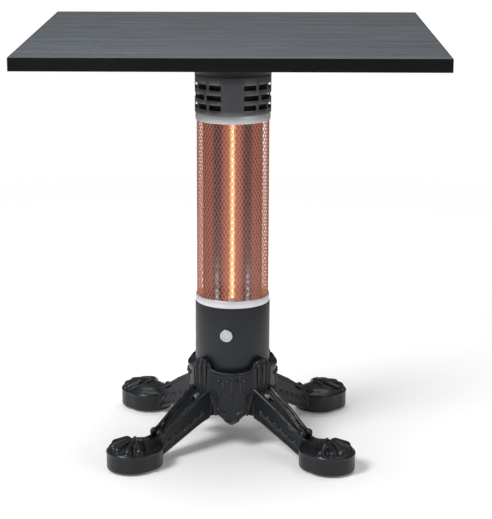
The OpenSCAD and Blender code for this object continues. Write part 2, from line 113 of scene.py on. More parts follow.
class BistroTopSettings(bpy.types.PropertyGroup):
    """Sizes and colours of the table top and its support."""

    edge_softness: bpy.props.FloatProperty(
        name="Edge softness", description="Rounding of the edge band's long edges, in millimetres",
        default=0.9, min=0.2, max=2.0)
    laminate: colour_property(
        "Laminate", "Middle colour of the grained laminate", (0.044, 0.048, 0.054))
    band: colour_property(
        "Edge band", "Colour of the edge band", (0.006, 0.007, 0.007))
    cast: colour_property(
        "Support", "Colour of the cast support", (0.012, 0.012, 0.013))


class BistroColumnSettings(bpy.types.PropertyGroup):
    """Sizes and colours of the column."""

    strands: bpy.props.IntProperty(
        name="Strands", description="Wires of the guard that wind each way",
        default=56, min=12, max=72)
    cell_height: bpy.props.FloatProperty(
        name="Mesh height", description="Height of one diamond of the guard, in millimetres",
        default=12.5, min=8, max=60)
    wire_r: bpy.props.FloatProperty(
        name="Wire radius", description="Radius of the guard's wires, in millimetres",
        default=0.62, min=0.3, max=1.5)
    collar: colour_property(
        "Vent collar", "Colour of the vent collar", (0.16, 0.163, 0.172))
    trim: colour_property(
        "Trim rings", "Colour of the bright trim rings", (0.86, 0.86, 0.88))
    housing: colour_property(
        "Housing", "Colour of the lower housing", (0.017, 0.0195, 0.0235))


class BistroHeaterSettings(bpy.types.PropertyGroup):
    """Sizes and colours of the lamps and their reflectors."""

    coil_r: bpy.props.FloatProperty(
        name="Coil radius", description="Radius of a glowing coil, in millimetres",
        default=2.0, min=1.0, max=3.5)
    coil_pitch: bpy.props.FloatProperty(
        name="Coil pitch", description="Rise of a coil in one turn, in millimetres",
        default=3.0, min=1.5, max=10)
    glow: colour_property(
        "Glow", "Colour of the glowing coils", (1.0, 0.62, 0.22))
    # Colour of the painted lamp glow on the quartz, the reflectors and the guard.
    painted_lamp_glow: colour_property(
        "Warmth", "Colour that the lamps throw on the reflectors and the guard", (0.95, 0.30, 0.17))


class BistroBaseSettings(bpy.types.PropertyGroup):
    """Fineness and colour of the cast base."""

    cast_step: bpy.props.FloatProperty(
        name="Casting detail",
        description="Smallest step in the surface of a casting, in millimetres",
        default=1.3, min=0.8, max=4)
    cast: colour_property(
        "Base", "Colour of the coated castings", (0.0075, 0.0088, 0.0105))


class BistroStageSettings(bpy.types.PropertyGroup):
    """The camera, the floor and the light."""

    camera_place: bpy.props.FloatVectorProperty(
        name="Camera", description="Where the camera stands",
        default=(0.0482, -3.059, 1.1027), size=3, subtype="TRANSLATION", unit="LENGTH")
    camera_pitch: bpy.props.FloatProperty(
        name="Pitch", description="How far the camera looks down",
        default=math.radians(14.07), subtype="ANGLE")
    camera_yaw: bpy.props.FloatProperty(
        name="Yaw", description="How far the camera turns to its left",
        default=math.radians(1.42), subtype="ANGLE")
    lens: bpy.props.FloatProperty(
        name="Focal length", description="Focal length of the lens, in millimetres",
        default=120.3, min=20, max=300)
    shift: bpy.props.FloatVectorProperty(
        name="Lens shift", description="Sideways and upward shift of the lens",
        default=(0.0549, 0.0021), size=2)
    floor: colour_property(
        "Floor", "Colour of the studio floor", (0.93, 0.93, 0.935))


# --------------------------------------------------------------- materials


class Value:
    """A shader value that takes part in plain arithmetic."""

    def __init__(self, finish, socket):
        self.finish = finish
        self.socket = socket

    def __add__(self, other):
        return self.finish.math("ADD", self, other)

    def __radd__(self, other):
        return self.finish.math("ADD", other, self)

    def __sub__(self, other):
        return self.finish.math("SUBTRACT", self, other)

    def __rsub__(self, other):
        return self.finish.math("SUBTRACT", other, self)

    def __mul__(self, other):
        return self.finish.math("MULTIPLY", self, other)

    def __rmul__(self, other):
        return self.finish.math("MULTIPLY", other, self)

    def __truediv__(self, other):
        return self.finish.math("DIVIDE", self, other)


class Finish:
    """A material whose shader is written as expressions."""

    def __init__(self, name):
        self.material = bpy.data.materials.new(name)
        self.material.use_nodes = True
        self.tree = self.material.node_tree
        self.tree.nodes.clear()

    def node(self, kind, settings=None, sockets=None, output=0):
        """Adds a node with its settings first, then its socket values and links."""
        made = self.tree.nodes.new(kind)
        for key, value in (settings or {}).items():
            if key == "stops":
                self.set_stops(made.color_ramp.elements, value)
            else:
                setattr(made, key, value)
        for key, value in (sockets or {}).items():
            if isinstance(value, Value):
                self.tree.links.new(value.socket, made.inputs[key])
            else:
                made.inputs[key].default_value = value
        return Value(self, made.outputs[output]) if made.outputs else None

    def set_stops(self, elements, stops):
        """Gives a ramp its stops, each a position and a colour."""
        while len(elements) < len(stops):
            elements.new(1.0)
        for element, (position, colour) in zip(elements, stops):
            element.position = position
            element.color = (*colour, 1)

    def math(self, operation, first, second=0.0):
        return self.node("ShaderNodeMath", {"operation": operation}, {0: first, 1: second})

    def limited(self, value):
        """A value kept between 0 and 1."""
        return self.node("ShaderNodeClamp", sockets={"Value": value})

    def mix(self, amount, first, second):
        """A colour between two others."""
        sockets = {MIX_FIRST: opaque(first), MIX_SECOND: opaque(second), MIX_FACTOR: amount}
        return self.node("ShaderNodeMix", {"data_type": "RGBA"}, sockets, MIX_RESULT)

    def place(self, stretch=(1, 1, 1)):
        """A point of the object, stretched along its axes."""
        spot = self.node("ShaderNodeTexCoord", output="Object")
        return self.node("ShaderNodeMapping", sockets={"Vector": spot, "Scale": stretch})

    def noise(self, place, scale, detail=2.0):
        return self.node("ShaderNodeTexNoise",
                         sockets={"Vector": place, "Scale": scale, "Detail": detail})

    def ramp(self, value, stops):
        return self.node("ShaderNodeValToRGB", {"stops": stops}, {"Fac": value})

    def bump(self, height, strength, distance=0.0002):
        return self.node("ShaderNodeBump", sockets={
            "Strength": strength, "Distance": distance, "Height": height})

    def split(self, place):
        """The X, Y and Z of a point."""
        parts = self.node("ShaderNodeSeparateXYZ", sockets={"Vector": place})
        return [Value(self, out) for out in parts.socket.node.outputs]

    def off_lamp(self):
        """Distance sideways from the nearest lamp's plane, as a share of the guard's radius."""
        x, y = self.split(self.place())[:2]
        turn = self.math("ARCTAN2", y, x)
        lamps = len(LAMP_TURNS)
        away = self.math("ARCCOSINE", self.math("SINE", turn * lamps)) / lamps
        across = self.math("SQRT", x * x + y * y)
        return across * self.math("SINE", away) / (GUARD_R * MM)

    def surface(self, sockets):
        """Finishes the material with a principled shader."""
        shader = self.node("ShaderNodeBsdfPrincipled", sockets=sockets)
        self.node("ShaderNodeOutputMaterial", sockets={"Surface": shader})
        return self.material


def opaque(colour):
    """A colour with its alpha, where it's a plain one."""
    return colour if isinstance(colour, Value) else (*colour, 1)


def shade(colour, factor):
    """A plain colour made lighter or darker."""
    return tuple(min(1.0, part * factor) for part in colour)


def grained_laminate(name, colour):
    """A dark wood-effect laminate whose grain runs from left to right."""
    f = Finish(name)
    bands = f.noise(f.place((1.1, 34, 12)), 1.0, 4)
    streaks = f.noise(f.place((9, 420, 40)), 1.0, 5)
    pores = f.noise(f.place((60, 1500, 200)), 1.0, 2)
    grain = f.limited(bands * 0.55 + streaks * 0.45)
    cool = f.mix(f.limited((bands - 0.4) * 4), shade(colour, 0.55), shade(colour, 1.12))
    pale = tuple(part * lift for part, lift in zip(colour, (1.45, 1.75, 1.85)))
    tinted = f.mix(f.limited((streaks - 0.42) * 4), cool, pale)
    return f.surface({
        "Base Color": f.mix(f.limited((0.46 - pores) * 5), tinted, shade(colour, 0.5)),
        "Roughness": 0.34 + grain * 0.22,
        "Specular IOR Level": 0.45,
        "Normal": f.bump(streaks * 0.6 + pores * 0.4, 0.18, 0.00015)})


def powder_coat(name, colour, roughness, metallic=0.0, grain=1100.0, depth=0.16, shine=0.5):
    """A baked coat with the fine peel that powder leaves."""
    f = Finish(name)
    peel = f.noise(f.place(), grain, 2)
    cloud = f.noise(f.place(), 14.0, 3)
    tone = f.limited(cloud * 0.7 + peel * 0.3)
    return f.surface({
        "Base Color": f.mix(tone, shade(colour, 0.72), shade(colour, 1.28)),
        "Roughness": f.limited(roughness - 0.09 + cloud * 0.1 + peel * 0.08),
        "Metallic": metallic,
        "Specular IOR Level": shine,
        "Normal": f.bump(peel, depth)})


def cast_coat(name, colour):
    """Black coat over cast iron: sandy skin, with painted highlights in patches on sharp edges."""
    f = Finish(name)
    sand = f.noise(f.place(), 620.0, 4)
    swell = f.noise(f.place(), 75.0, 3)
    edge = f.node("ShaderNodeNewGeometry", output="Pointiness")
    # Painted highlight: sharp edges, found by pointiness, lightened in patches and made a little glossier.
    painted_edge_highlight = f.limited((edge - 0.515) * 12) * f.limited((swell - 0.3) * 3)
    body = f.mix(swell, shade(colour, 0.75), shade(colour, 1.3))
    return f.surface({
        "Base Color": f.mix(painted_edge_highlight * 0.8, body, (0.13, 0.138, 0.143)),
        "Roughness": f.limited(0.24 + swell * 0.14 + sand * 0.1 - painted_edge_highlight * 0.08),
        "Specular IOR Level": 0.32,
        "Coat Weight": 0.1,
        "Coat Roughness": 0.15,
        "Normal": f.bump(sand * 0.6 + swell * 0.4, 0.22, 0.0004)})


def brushed_metal(name, colour, roughness, stretch=(18, 18, 2600), depth=0.1):
    """Metal with fine brushing; the stretch sets which way the lines run."""
    f = Finish(name)
    lines = f.noise(f.place(stretch), 1.0, 4)
    cloud = f.noise(f.place(), 22.0, 2)
    tone = f.limited(lines * 0.8 + cloud * 0.2)
    return f.surface({
        "Base Color": f.mix(tone, shade(colour, 0.8), shade(colour, 1.12)),
        "Roughness": f.limited(roughness - 0.1 + lines * 0.16 + cloud * 0.06),
        "Metallic": 1.0,
        "Normal": f.bump(lines, depth, 0.0001)})


def turned_metal(name, colour, centre, axis):
    """Satin metal with rings round an axis, as a lathe leaves them."""
    f = Finish(name)
    arm = f.node("ShaderNodeVectorMath", {"operation": "SUBTRACT"}, {0: f.place(), 1: centre})
    side = f.node("ShaderNodeVectorMath", {"operation": "CROSS_PRODUCT"}, {0: arm, 1: axis})
    away = f.node("ShaderNodeVectorMath", {"operation": "LENGTH"}, {0: side}, "Value")
    rings = f.node("ShaderNodeTexNoise", {"noise_dimensions": "1D"},
                   {"W": away, "Scale": 2400.0, "Detail": 3.0})
    return f.surface({
        "Base Color": f.mix(rings, shade(colour, 0.82), shade(colour, 1.1)),
        "Roughness": 0.26 + rings * 0.16,
        "Metallic": 1.0,
        "Normal": f.bump(rings, 0.12, 0.0001)})


def moulded(name, colour, roughness, grain=1600.0):
    """Moulded plastic or rubber with a fine spark-eroded grain."""
    f = Finish(name)
    pebble = f.node("ShaderNodeTexVoronoi", sockets={"Vector": f.place(), "Scale": grain})
    cloud = f.noise(f.place(), 40.0, 2)
    return f.surface({
        "Base Color": f.mix(cloud, shade(colour, 0.8), shade(colour, 1.2)),
        "Roughness": f.limited(roughness - 0.05 + pebble * 0.12),
        "Normal": f.bump(pebble, 0.14, 0.0001)})


def ceramic(name, colour):
    """Matt steatite, a little sooty in patches."""
    f = Finish(name)
    speck = f.noise(f.place(), 900.0, 4)
    soot = f.noise(f.place(), 60.0, 3)
    return f.surface({
        "Base Color": f.mix(f.limited((soot - 0.45) * 2.2), colour, shade(colour, 0.72)),
        "Roughness": 0.6 + speck * 0.2,
        "Normal": f.bump(speck, 0.2)})


def circuit_board(name, colour):
    """Solder mask with the fine relief of tracks beneath it."""
    f = Finish(name)
    tracks = f.node("ShaderNodeTexBrick", {"offset": 0.3}, {
        "Vector": f.place(), "Scale": 160.0, "Mortar Size": 0.09,
        "Color1": (1, 1, 1, 1), "Color2": (0.6, 0.6, 0.6, 1), "Mortar": (0, 0, 0, 1)}, "Fac")
    return f.surface({
        "Base Color": f.mix(tracks, colour, shade(colour, 1.9)),
        "Roughness": 0.28 + tracks * 0.12,
        "Normal": f.bump(tracks, 0.3, 0.0002)})


def quartz(name, colour):
    """Clear quartz tinted orange, with a faint painted glow in the colour of the coil inside it."""
    f = Finish(name)
    haze = f.noise(f.place((30, 30, 9)), 1.0, 3)
    # Painted glow: the tint and the faint emission stand in for the coil's light in the glass.
    painted_coil_glow = tuple(part * 0.9 for part in colour)
    return f.surface({
        "Base Color": f.mix(haze, (1, 0.86, 0.74), (1, 0.78, 0.6)),
        "Roughness": 0.05 + haze * 0.06,
        "Alpha": 0.22 + haze * 0.08,
        "Emission Color": f.mix(haze, painted_coil_glow, shade(painted_coil_glow, 0.7)),
        "Emission Strength": 0.3})


def glowing_coil(name, colour):
    """A heating coil with a mottled glow."""
    f = Finish(name)
    ripple = f.noise(f.place((200, 200, 60)), 1.0, 3)
    return f.surface({
        "Base Color": f.mix(ripple, (0.25, 0.12, 0.07), (0.4, 0.2, 0.1)),
        "Roughness": 0.7 + ripple * 0.2,
        "Emission Color": f.mix(ripple, colour, (1.0, 0.80, 0.42)),
        "Emission Strength": 3.0})


def reflector_with_painted_glow(name, colour):
    """Polished sheet with painted lamp glow: rosy in the trough and on the wings, painted dark shade by the
    ridges, painted white glints low down.
    """
    f = Finish(name)
    aside = f.off_lamp()
    height = f.split(f.place())[2]
    drawn = f.noise(f.place((900, 900, 7)), 1.0, 3)
    # Patchy noise that breaks up the painted white glints.
    patches = f.noise(f.place((60, 60, 240)), 1.0, 2)
    # Painted glow and shade by angle round the column: brightest in the trough before each lamp, dark by the
    # ridges, dimmer on the wings.
    cast = f.ramp(aside, [
        (0.0, shade(colour, 1.0)), (0.22, shade(colour, 0.42)), (0.32, (0.02, 0.010, 0.016)),
        (0.49, (0.018, 0.009, 0.014)), (0.57, shade(colour, 0.27)), (0.76, shade(colour, 0.22)),
        (0.84, shade(colour, 0.1)), (0.92, shade(colour, 0.26))])
    dark, bright = (0, 0, 0), (1, 1, 1)
    # Mask of the painted reflection: white-blue glints of studio light on the ridges and the wings' edges, low on
    # the sheet.
    lines = f.ramp(aside, [
        (0.36, dark), (0.40, bright), (0.46, bright), (0.49, dark),
        (0.80, dark), (0.84, bright), (0.87, bright), (0.9, dark)])
    painted_glint_top = 0.355
    painted_glint = f.limited((painted_glint_top - height) * 14) * lines * f.limited(patches * 5 - 2)
    painted_glow_on_sheet = f.mix(drawn * 0.6, cast, shade(colour, 0.25))
    return f.surface({
        # Dark metal with a rosy tint; the tint is a painted share of the lamp glow.
        "Base Color": f.mix(drawn, (0.11, 0.075, 0.08), (0.20, 0.14, 0.145)),
        "Roughness": 0.2 + drawn * 0.16,
        "Metallic": 1.0,
        "Emission Color": f.mix(painted_glint, painted_glow_on_sheet, (0.9, 0.95, 1.0)),
        "Emission Strength": 0.55,
        "Normal": f.bump(drawn, 0.25, 0.0003)})


def wire_with_painted_glow(name, colour):
    """Steel wire tinted salmon, with painted lamp glow: brightest before each lamp, painted dark shade by the
    ridges.
    """
    f = Finish(name)
    aside = f.off_lamp()
    drawn = f.noise(f.place((240, 240, 240)), 1.0, 2)
    # Painted glow and shade by angle round the column, brightest before each lamp and dark by the ridges.
    cast = f.ramp(aside, [
        (0.0, shade(colour, 1.2)), (0.26, shade(colour, 0.72)), (0.34, (0.11, 0.075, 0.085)),
        (0.48, (0.11, 0.07, 0.08)), (0.58, shade(colour, 0.52)), (1.0, shade(colour, 0.44))])
    return f.surface({
        # Salmon tint on the steel; the tint is painted lamp glow.
        "Base Color": f.mix(drawn, (0.20, 0.12, 0.11), (0.34, 0.21, 0.19)),
        "Roughness": 0.28 + drawn * 0.16,
        "Metallic": 1.0,
        "Emission Color": f.mix(drawn * 0.5, cast, shade(colour, 0.3)),
        "Emission Strength": 0.55,
        "Normal": f.bump(drawn, 0.1)})


def make_finishes(scene):
    """One material for each of the record's slots."""
    top, column = scene.bistro_top, scene.bistro_column
    heater, base = scene.bistro_heater, scene.bistro_base
    button_low, button_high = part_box("power_button")
    button_middle = (button_low + button_high) / 2
    return {
        "top_laminate": grained_laminate("laminate", tuple(top.laminate)),
        "edge_black": powder_coat("edge_banding", tuple(top.band), 0.5, grain=700.0,
                                  shine=0.15),
        "support_cast": powder_coat("support_coat", tuple(top.cast), 0.5, grain=800.0,
                                    shine=0.2),
        "collar_coat": powder_coat("collar_paint", tuple(column.collar), 0.4, 0.75, 1800.0,
                                   0.08),
        "housing_coat": powder_coat("housing_paint", tuple(column.housing), 0.42, 0.3, 1500.0,
                                    0.12),
        "trim_bright": brushed_metal("bright_trim", tuple(column.trim), 0.46),
        "insert_brass": brushed_metal("brass", (0.72, 0.5, 0.22), 0.35),
        "screw_zinc": brushed_metal("zinc_screws", (0.86, 0.87, 0.9), 0.42, (300, 300, 900)),
        "plate_zinc": brushed_metal("zinc_sheet", (0.62, 0.62, 0.64), 0.4, (60, 900, 60)),
        "shield_sheet": brushed_metal("plain_sheet", (0.8, 0.8, 0.8), 0.36, (60, 900, 60)),
        "tube_steel": brushed_metal("mild_steel", (0.44, 0.44, 0.46), 0.42, (18, 18, 900)),
        "clip_steel": brushed_metal("spring_steel", (0.5, 0.51, 0.54), 0.3, (400, 400, 400)),
        "pendulum_steel": brushed_metal("turned_steel", (0.66, 0.66, 0.67), 0.25, (900, 40, 40)),
        "button_silver": turned_metal("button_silver", (0.60, 0.61, 0.63), button_middle,
                                      PRESS_AXIS),
        "bezel_black": moulded("bezel_black", (0.008, 0.008, 0.009), 0.26, 900.0),
        "switch_plastic": moulded("switch_plastic", (0.03, 0.03, 0.033), 0.5),
        "relay_blue": moulded("relay_case", (0.03, 0.09, 0.34), 0.35),
        "terminal_white": moulded("terminal_strip", (0.72, 0.72, 0.66), 0.45),
        "gland_black": moulded("gland_nylon", (0.014, 0.014, 0.015), 0.42),
        "seal_rubber": moulded("seal_rubber", (0.02, 0.02, 0.02), 0.75, 700.0),
        "pad_rubber": moulded("pad_rubber", (0.018, 0.018, 0.019), 0.7, 600.0),
        "cap_ceramic": ceramic("lamp_ceramic", (0.8, 0.77, 0.7)),
        "board_green": circuit_board("board_mask", (0.02, 0.14, 0.05)),
        "quartz_glass": quartz("quartz", tuple(heater.painted_lamp_glow)),
        "filament_glow": glowing_coil("glowing_coil", tuple(heater.glow)),
        "reflector_polish": reflector_with_painted_glow("polished_trough", tuple(heater.painted_lamp_glow)),
        "guard_wire": wire_with_painted_glow("guard_wire", tuple(heater.painted_lamp_glow)),
        "base_cast": cast_coat("cast_coat", tuple(base.cast)),
    }


# The material of each slot, filled by the first operator.
FINISHES = {}


# ------------------------------------------------------------ mesh making


def softened(points, steps=5):
    """A closed outline with rounded corners; each point is (a, b, rounding)."""
    outline = []
    for i, (a, b, rounding) in enumerate(points):
        here = Vector((a, b))
        back = Vector(points[i - 1][:2]) - here
        ahead = Vector(points[(i + 1) % len(points)][:2]) - here
        reach = min(rounding, back.length * 0.49, ahead.length * 0.49)
        if reach < 0.01:
            outline.append((a, b))
            continue
        start, end = here + back.normalized() * reach, here + ahead.normalized() * reach
        for k in range(steps + 1):
            t = k / steps
            outline.append(tuple(start.lerp(here, t).lerp(here.lerp(end, t), t)))
    return outline


def turned(outline, steps=128, shape=None):
    """A closed outline of radius and height turned about Z; shape scales the radius."""
    count = len(outline)
    verts, faces = [], []
    for k in range(steps):
        angle = 2 * math.pi * k / steps
        for radius, height in outline:
            r = radius * (shape(angle, radius, height) if shape else 1)
            verts.append((r * math.cos(angle), r * math.sin(angle), height))
        for i in range(count):
            j, after = (i + 1) % count, (k + 1) % steps
            faces.append((k * count + i, after * count + i, after * count + j, k * count + j))
    return np.array(verts), faces


def circle(angles):
    """Points on a circle of radius 1 at the given angles."""
    return np.stack([np.cos(angles), np.sin(angles), 0 * angles], 1)


def wire(path, across, radius, sides=6):
    """A round wire along a path; across is a direction square to the path at each point."""
    path, across = np.asarray(path, float), np.asarray(across, float)
    ahead = np.gradient(path, axis=0)
    ahead /= np.linalg.norm(ahead, axis=1, keepdims=True)
    side = across - ahead * (across * ahead).sum(1, keepdims=True)
    side /= np.linalg.norm(side, axis=1, keepdims=True)
    other = np.cross(ahead, side)
    turn = np.arange(sides) * 2 * math.pi / sides
    rings = path[:, None] + radius * (side[:, None] * np.cos(turn)[None, :, None]
                                      + other[:, None] * np.sin(turn)[None, :, None])
    verts = rings.reshape(-1, 3)
    faces = []
    for k in range(len(path) - 1):
        for i in range(sides):
            j = (i + 1) % sides
            faces.append((k * sides + i, k * sides + j,
                          (k + 1) * sides + j, (k + 1) * sides + i))
    faces.append(tuple(range(sides))[::-1])
    faces.append(tuple(range((len(path) - 1) * sides, len(path) * sides)))
    return verts, faces


def joined(parts):
    """Several meshes, each of points and faces, as one."""
    verts, faces, start = [], [], 0
    for points, polygons in parts:
        verts.append(points)
        faces += [tuple(i + start for i in polygon) for polygon in polygons]
        start += len(points)
    return np.concatenate(verts), faces


def moved(part, matrix):
    """A mesh with its points moved by a matrix."""
    points, faces = part
    turn = np.array(matrix.to_3x3())
    return points @ turn.T + np.array(matrix.translation), faces


def about_z(degrees):
    return Matrix.Rotation(math.radians(degrees), 4, "Z")


def new_object(name, part):
    """A plain object from points in millimetres and faces."""
    points, faces = part
    mesh = bpy.data.meshes.new(name)
    mesh.from_pydata((points * MM).tolist(), [], faces)
    made = bpy.data.objects.new(name, mesh)
    bpy.context.scene.collection.objects.link(made)
    return made


def settle(made, modifier, **settings):
    """Puts a modifier on an object and keeps its result as the object's own mesh."""
    added = made.modifiers.new(modifier.title(), modifier)
    for key, value in settings.items():
        setattr(added, key, value)
    graph = bpy.context.evaluated_depsgraph_get()
    mesh = bpy.data.meshes.new_from_object(made.evaluated_get(graph))
    made.modifiers.clear()
    made.data = mesh
    return made


def cut(made, part):
    """Cuts a closed mesh out of an object."""
    cutter = new_object("cutter", part)
    settle(made, "BOOLEAN", operation="DIFFERENCE", object=cutter, solver="EXACT")
    bpy.data.objects.remove(cutter)
    return made


def bevelled(made, width, segments=3, angle=40):
    """Rounds an object's sharp edges by a width in millimetres."""
    return settle(made, "BEVEL", width=width * MM, segments=segments,
                  limit_method="ANGLE", angle_limit=math.radians(angle), use_clamp_overlap=True)


def dressed(made, slot, body="frame", stands_for=(), smooth=35):
    """Gives a piece its finish, its body and the CAD nodes that it stands for."""
    mesh = made.data
    mesh.materials.clear()
    mesh.materials.append(FINISHES[slot])
    mesh.shade_smooth()
    mesh.set_sharp_from_angle(angle=math.radians(smooth))
    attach(made, body)
    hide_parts(*stands_for)
    return made


# ------------------------------------------------------------ cast shapes


class Casting:
    """Signed distances, in millimetres, on a grid; a cast shape is where they are below 0."""

    def __init__(self, low, high, step):
        self.low, self.step = np.array(low, float), step
        counts = [int(math.ceil((b - a) / step)) + 1 for a, b in zip(low, high)]
        axes = [a + step * np.arange(n, dtype=np.float32) for a, n in zip(low, counts)]
        self.x, self.y, self.z = np.meshgrid(*axes, indexing="ij", sparse=True)
        self.shape = counts

    def skin(self, field):
        """A closed mesh of four-sided faces over the surface where the field is 0."""
        field = np.broadcast_to(field, self.shape)
        cells = np.array(self.shape) - 1
        size = int(np.prod(cells))
        total, count, quads = np.zeros((size, 3)), np.zeros(size), []
        for axis in range(3):
            near = np.take(field, range(self.shape[axis] - 1), axis)
            far = np.take(field, range(1, self.shape[axis]), axis)
            edges = np.argwhere((near < 0) != (far < 0))
            start, end = near[tuple(edges.T)], far[tuple(edges.T)]
            points = edges.astype(float)
            points[:, axis] += start / (start - end)
            ring = []
            for b, c in ((0, 0), (1, 0), (1, 1), (0, 1)):
                cell = edges.copy()
                cell[:, (axis + 1) % 3] -= b
                cell[:, (axis + 2) % 3] -= c
                flat = np.ravel_multi_index(tuple(cell.T), tuple(cells))
                ring.append(flat)
                count += np.bincount(flat, minlength=size)
                for k in range(3):
                    total[:, k] += np.bincount(flat, weights=points[:, k], minlength=size)
            ring = np.stack(ring, 1)
            quads.append(np.where((start < 0)[:, None], ring, ring[:, ::-1]))
        used = count > 0
        order = np.cumsum(used) - 1
        points = self.low + self.step * total[used] / count[used][:, None]
        return points, order[np.concatenate(quads)].tolist()


def blend(first, second, reach):
    """Two shapes joined, with a hollow of the given reach between them."""
    share = np.clip(0.5 + 0.5 * (second - first) / reach, 0, 1)
    return second * (1 - share) + first * share - reach * share * (1 - share)


def common(first, second, reach):
    """What two shapes share, with its edges rounded."""
    return -blend(-first, -second, reach)


def rod_field(x, y, z, start, end, radius, end_radius=None):
    """Distance to a round-ended rod between two points, which may taper."""
    start, along = np.array(start, float), np.array(end, float) - np.array(start, float)
    px, py, pz = x - start[0], y - start[1], z - start[2]
    share = np.clip((px * along[0] + py * along[1] + pz * along[2]) / (along @ along), 0, 1)
    away = np.sqrt((px - along[0] * share) ** 2 + (py - along[1] * share) ** 2
                   + (pz - along[2] * share) ** 2)
    return away - (radius + ((radius if end_radius is None else end_radius) - radius) * share)


def ball_field(x, y, z, centre, radii):
    """Distance to an ellipsoid, nearly."""
    parts = [(a - c) / r for a, c, r in zip((x, y, z), centre, radii)]
    return (np.sqrt(sum(part * part for part in parts)) - 1) * min(radii)


def leg_shape(step):
    """One leg, lying along +X: a beam with rails and leaves, and a paw with toes."""
    hub_r = -corners_mm("base_hub")[0].x
    floor = corners_mm("leg_front_left")[0].z
    foot = FOOT_REACH
    field = Casting((hub_r - 16, -50, floor - 4), (foot + 58, 50, 118), step)
    x, y, z = field.x, field.y, field.z
    across = np.abs(y)

    # The beam, seen from the side and from above.
    ankle = foot - 60
    top = np.interp(x, [hub_r, hub_r + 50, ankle - 20, ankle, foot], [112, 82, 60, 50, 38])
    low = np.interp(x, [hub_r - 10, hub_r + 20, ankle, foot], [60, 51, 13, 6])
    half = np.interp(x, [hub_r, ankle], [21.5, 13.5])
    slope = 0.86
    side = across - half - 0.7 * np.cos((z - low) / np.maximum(top - low, 8) * math.pi)
    beam = common(common((z - top) * slope, (low - z) * slope, 4), side, 3)
    beam = common(beam, np.maximum(hub_r - 8 - x, x - foot + 6), 2)
    valley = common((top - 5.5 - z) * slope, across - (half - 6.5), 3)
    beam = common(beam, -valley, 2)

    # Rails along both upper edges, ending in a scroll at the ankle.
    rails = [(hub_r - 2, 112, 21.5), (hub_r + 50, 84, 17.5), (ankle - 18, 64, 14.5),
             (ankle - 4, 56, 13.5), (ankle + 6, 50, 12)]
    shape = beam
    for start, end in zip(rails, rails[1:]):
        rail = rod_field(x, across, z, (start[0], start[2] - 1.5, start[1]),
                         (end[0], end[2] - 1.5, end[1]), 3.1)
        shape = blend(shape, rail, 1.5)
    scroll = ball_field(x, across, z, (ankle + 7, 8.5, 53), (8, 6, 7))
    shape = blend(shape, scroll, 3)

    # Slanting leaves along each flank, and a bead along its lower edge.
    for k in range(6):
        middle = hub_r + 20 + 16 * k
        height = np.interp(middle, [hub_r, ankle], [79, 33])
        flank = np.interp(middle, [hub_r, ankle], [21.8, 13.8])
        leaf = rod_field(x, across, z, (middle - 6, flank + 0.4, height + 3.5),
                         (middle + 6, flank - 0.2, height - 6.5), 2.8, 1.5)
        shape = blend(shape, leaf, 1.2)
    lower_bead = rod_field(x, across, z, (hub_r + 16, 19.6, 56), (ankle + 2, 13.2, 17.5), 2)
    shape = blend(shape, lower_bead, 1.5)

    # The paw: an upright oval wall under a low crown with a fan of toes.
    paw_r, paw_stretch, wall_top = 43, 9, 38
    run = np.maximum(np.abs(x - foot) - paw_stretch, 0)
    plan = np.sqrt(run * run + y * y)
    paw = common(plan - paw_r, np.maximum(z - wall_top, floor - z), 4)
    crown = ball_field(x, y, z, (foot - 2, 0, 35), (46, 37, 14.5))
    paw = blend(paw, crown, 4)
    for turn in (-72, -36, 0, 36, 72):
        angle = math.radians(turn)
        ahead, aside = math.cos(angle), math.sin(angle)
        knuckle = (foot + 2 + 11 * ahead, 16 * aside, 45)
        tip = (foot + 6 + 32 * ahead, 33 * aside, 39)
        paw = blend(paw, rod_field(x, y, z, knuckle, tip, 10.4, 9.4), 1.2)
        bead = (foot - 10 + 4 * ahead, 10 * aside, 50)
        paw = blend(paw, ball_field(x, y, z, bead, (3.6, 3.6, 3.6)), 0.8)
    for turn in (-54, -18, 18, 54):
        angle = math.radians(turn)
        ahead, aside = math.cos(angle), math.sin(angle)
        furrow = rod_field(x, y, z, (foot + 6 + 10 * ahead, 12 * aside, 51.5),
                           (foot + 9 + 42 * ahead, 41 * aside, 42), 1.9)
        paw = common(paw, -furrow, 1.2)
    collar = common(plan - paw_r - 1, np.abs(z - 34) - 1.3, 1.3)
    paw = blend(paw, collar, 1.2)
    shape = blend(shape, paw, 3.5)

    # Hollow underneath, with a boss for the levelling glide and room for its pad.
    cup_r, boss_r, stem_r, pad_room_r, pad_lift = 37, 10, 4, 18, 3
    hollow = common(common((z - top + 11) * slope, across - half + 6, 3),
                    np.maximum(hub_r + 15 - x, x - foot + 54), 2)
    cup = common(plan - cup_r, z - 27, 3)
    off_stem = np.sqrt((x - foot) ** 2 + y * y)
    cup = common(cup, boss_r - off_stem, 1.5)
    shape = common(shape, -np.minimum(hollow, cup), 1.5)
    shape = np.maximum(shape, -np.maximum(off_stem - stem_r, z - 33))
    shape = np.maximum(shape, -np.maximum(off_stem - pad_room_r, z - PAD_HIGH.z - pad_lift))

    # A pierced slot in the top near the hub, and a clean face against the hub's wall.
    slot = rod_field(x, y, np.zeros_like(z), (hub_r + 10, 0, 0), (hub_r + 24, 0, 0), 5)
    shape = np.maximum(shape, -np.maximum(slot, 92 - z))
    shape = np.maximum(shape, hub_r - np.sqrt(x * x + y * y))
    return field.skin(shape)


